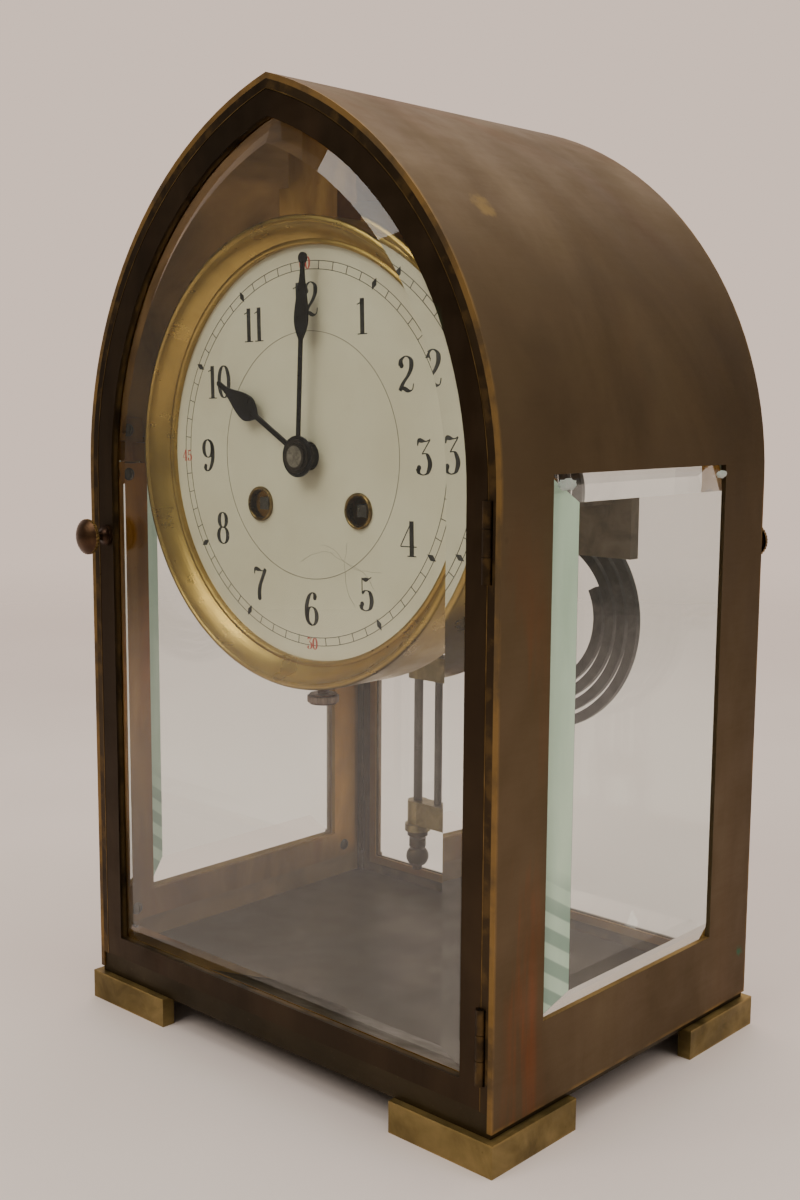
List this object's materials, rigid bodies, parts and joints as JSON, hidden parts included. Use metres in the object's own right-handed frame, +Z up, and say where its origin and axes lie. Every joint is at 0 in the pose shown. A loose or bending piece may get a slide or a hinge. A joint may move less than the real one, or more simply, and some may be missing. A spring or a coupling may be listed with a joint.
{
  "type": "mantel clock",
  "caption": "Arched brass-cased mantel clock with bevelled glass doors and side panes, enamel dial with blued hands, twin-tube pendulum, coiled gong and hinged doors front and rear.",
  "frame": {"origin": "on the table, under the middle of the case (centre of the bounding box in X, bottom in Z)", "axes": "+X to the right seen from the front, the dial faces -Y, +Z up"},
  "size_m": [0.1634, 0.1396, 0.27],
  "materials": {
    "case_bronze": "aged satin patina",
    "dark_bronze": "dark brown patina",
    "foot_brass": "dull olive patina",
    "frame_brass": "orange satin",
    "glass": "polished, bevelled",
    "screw_steel": "dull",
    "brass": "polished, aged",
    "enamel": "glossy white vitreous enamel on copper",
    "blued_steel": "blued",
    "gong_iron": "dark, dull"
  },
  "bodies": {
    "case": {"case_shell": "case_bronze", "front_rim": "case_bronze", "rear_rim": "case_bronze", "base_plate": "dark_bronze", "foot_front_left": "foot_brass", "foot_front_right": "foot_brass", "foot_rear_left": "foot_brass", "foot_rear_right": "foot_brass", "side_glass_left": "glass", "side_glass_right": "glass", "side_frame_left": "frame_brass", "side_frame_right": "frame_brass", "case_screws": "screw_steel", "case_hinge_leaves": "brass", "hinge_pins": "screw_steel", "dial": "enamel", "bezel": "brass", "winding_grommets": "brass", "bezel_thumbscrew": "dark_bronze", "side_brackets": "frame_brass", "top_bracket": "frame_brass", "front_plate": "brass", "back_plate": "brass", "pillars": "brass", "suspension_cock": "brass", "gong_block": "gong_iron", "gong_coil": "gong_iron"},
    "front_door": {"front_door_frame": "dark_bronze", "front_door_glass": "glass", "front_glass_retainer": "frame_brass", "front_door_hinge_leaves": "brass"},
    "front_knob": {"front_knob": "dark_bronze"},
    "rear_door": {"rear_door_frame": "dark_bronze", "rear_door_glass": "glass", "rear_glass_retainer": "frame_brass", "rear_door_hinge_leaves": "brass"},
    "rear_knob": {"rear_knob": "dark_bronze"},
    "going_barrel": {"going_barrel": "brass"},
    "centre_arbor": {"centre_wheel": "brass", "minute_hand": "blued_steel", "hand_nut": "foot_brass"},
    "hour_pipe": {"hour_wheel": "brass", "hour_hand": "blued_steel"},
    "minute_wheel": {"minute_wheel": "brass"},
    "third_arbor": {"third_wheel": "brass"},
    "escape_arbor": {"escape_wheel": "brass"},
    "pallet_arbor": {"pallets": "screw_steel"},
    "pendulum": {"pendulum_rod": "screw_steel", "pendulum_tubes": "screw_steel", "pendulum_blocks": "brass", "pendulum_finials": "dark_bronze"},
    "going_winding_arbor": {"going_winding_arbor": "screw_steel"},
    "going_click": {"going_click": "screw_steel"},
    "strike_barrel": {"strike_barrel": "brass"},
    "strike_winding_arbor": {"strike_winding_arbor": "screw_steel"},
    "strike_click": {"strike_click": "screw_steel"},
    "strike_arbor": {"strike_wheel": "brass"},
    "fly_arbor": {"fly": "brass"},
    "hammer": {"hammer": "screw_steel"}
  },
  "joints": [
    {"name": "front_door_hinge", "type": "hinge", "parent": "case", "child": "front_door", "pos_m": [0.0751, -0.0606, 0.095], "axis": [0, 0, 1], "range_deg": [0, 105]},
    {"name": "front_knob_turn", "type": "hinge", "parent": "front_door", "child": "front_knob", "pos_m": [-0.07178, -0.063, 0.1465], "axis": [0, 1, 0], "range_deg": [0, 90]},
    {"name": "rear_door_hinge", "type": "hinge", "parent": "case", "child": "rear_door", "pos_m": [-0.0751, 0.0606, 0.095], "axis": [0, 0, 1], "range_deg": [0, 105]},
    {"name": "rear_knob_turn", "type": "hinge", "parent": "rear_door", "child": "rear_knob", "pos_m": [0.07178, 0.063, 0.1465], "axis": [0, -1, 0], "range_deg": [0, 90]},
    {"name": "going_barrel_turn", "type": "hinge", "parent": "case", "child": "going_barrel", "pos_m": [0.0191, -0.015, 0.1581], "axis": [0, 1, 0], "continuous": true},
    {"name": "minute_turn", "type": "hinge", "parent": "case", "child": "centre_arbor", "pos_m": [0, -0.04, 0.172], "axis": [0, 1, 0], "continuous": true},
    {"name": "hour_turn", "type": "hinge", "parent": "case", "child": "hour_pipe", "pos_m": [0, -0.04, 0.172], "axis": [0, 1, 0], "continuous": true},
    {"name": "minute_wheel_turn", "type": "hinge", "parent": "case", "child": "minute_wheel", "pos_m": [-0.01053, -0.036, 0.17808], "axis": [0, 1, 0], "continuous": true},
    {"name": "third_turn", "type": "hinge", "parent": "case", "child": "third_arbor", "pos_m": [0.00616, -0.015, 0.18358], "axis": [0, 1, 0], "continuous": true},
    {"name": "escape_turn", "type": "hinge", "parent": "case", "child": "escape_arbor", "pos_m": [0, -0.015, 0.19191], "axis": [0, 1, 0], "continuous": true},
    {"name": "pallet_rock", "type": "hinge", "parent": "case", "child": "pallet_arbor", "pos_m": [0, -0.01, 0.21], "axis": [0, 1, 0], "range_deg": [-4, 4]},
    {"name": "pendulum_swing", "type": "hinge", "parent": "case", "child": "pendulum", "pos_m": [0, 0.01, 0.21], "axis": [0, 1, 0], "range_deg": [-4, 4]},
    {"name": "going_winding_turn", "type": "hinge", "parent": "case", "child": "going_winding_arbor", "pos_m": [0.0191, -0.036, 0.1581], "axis": [0, 1, 0], "continuous": true},
    {"name": "going_click_lift", "type": "hinge", "parent": "case", "child": "going_click", "pos_m": [0.0246, -0.034, 0.1495], "axis": [0, 1, 0], "range_deg": [0, 10]},
    {"name": "strike_barrel_turn", "type": "hinge", "parent": "case", "child": "strike_barrel", "pos_m": [-0.0191, -0.015, 0.1581], "axis": [0, 1, 0], "continuous": true},
    {"name": "strike_winding_turn", "type": "hinge", "parent": "case", "child": "strike_winding_arbor", "pos_m": [-0.0191, -0.036, 0.1581], "axis": [0, 1, 0], "continuous": true},
    {"name": "strike_click_lift", "type": "hinge", "parent": "case", "child": "strike_click", "pos_m": [-0.0246, -0.034, 0.1495], "axis": [0, -1, 0], "range_deg": [0, 10]},
    {"name": "strike_turn", "type": "hinge", "parent": "case", "child": "strike_arbor", "pos_m": [-0.02881, -0.015, 0.17802], "axis": [0, 1, 0], "continuous": true},
    {"name": "fly_turn", "type": "hinge", "parent": "case", "child": "fly_arbor", "pos_m": [-0.02367, -0.015, 0.18769], "axis": [0, 1, 0], "continuous": true},
    {"name": "hammer_lift", "type": "hinge", "parent": "case", "child": "hammer", "pos_m": [-0.0221, 0.04, 0.198], "axis": [0, 1, 0], "range_deg": [0, 8]}
  ],
  "couplings": [
    {"joint": "minute_turn", "follows": "going_barrel_turn", "ratio": -6},
    {"joint": "hour_turn", "follows": "going_barrel_turn", "ratio": -0.5},
    {"joint": "minute_wheel_turn", "follows": "going_barrel_turn", "ratio": 2},
    {"joint": "third_turn", "follows": "going_barrel_turn", "ratio": 48},
    {"joint": "escape_turn", "follows": "going_barrel_turn", "ratio": -360},
    {"joint": "pallet_rock", "follows": "pendulum_swing", "ratio": 1},
    {"joint": "strike_turn", "follows": "strike_barrel_turn", "ratio": -9},
    {"joint": "fly_turn", "follows": "strike_barrel_turn", "ratio": 72}
  ]
}
